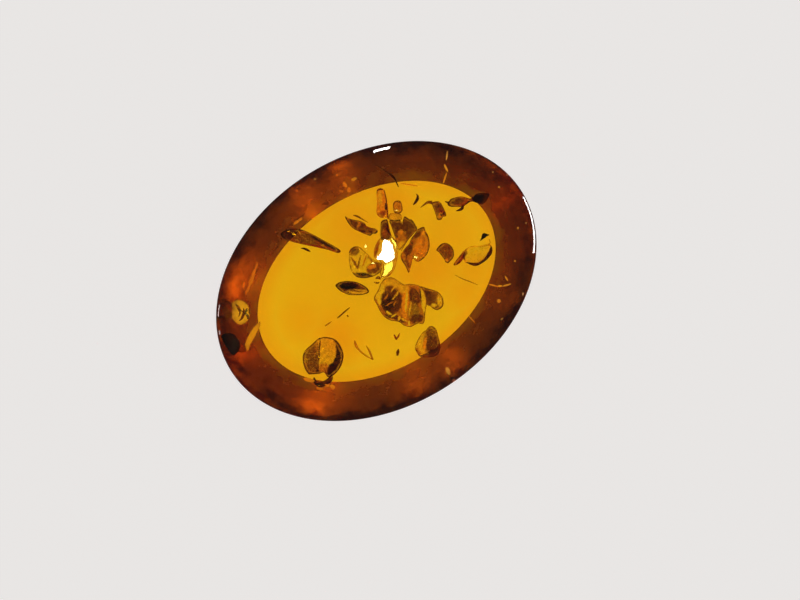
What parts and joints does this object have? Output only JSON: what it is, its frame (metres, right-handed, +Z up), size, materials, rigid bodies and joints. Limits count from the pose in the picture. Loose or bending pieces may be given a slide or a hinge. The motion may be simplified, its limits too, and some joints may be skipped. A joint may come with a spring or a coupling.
{
  "type": "polished amber cabochon",
  "caption": "Oval cabochon of clear golden-brown amber with a polished dome, rounded girdle and undercut flat back.",
  "frame": {"origin": "centre of the flat back face that the stone rests on", "axes": "+X along the stone's length, +Y across its width, +Z up from the flat back to the top of the dome"},
  "size_m": [0.02, 0.0148, 0.0062],
  "materials": {
    "amber": "polished clear fossil resin, golden in the middle and deep red-brown round the rim"
  },
  "bodies": {
    "root": {"amber_cabochon": "amber"}
  },
  "joints": []
}
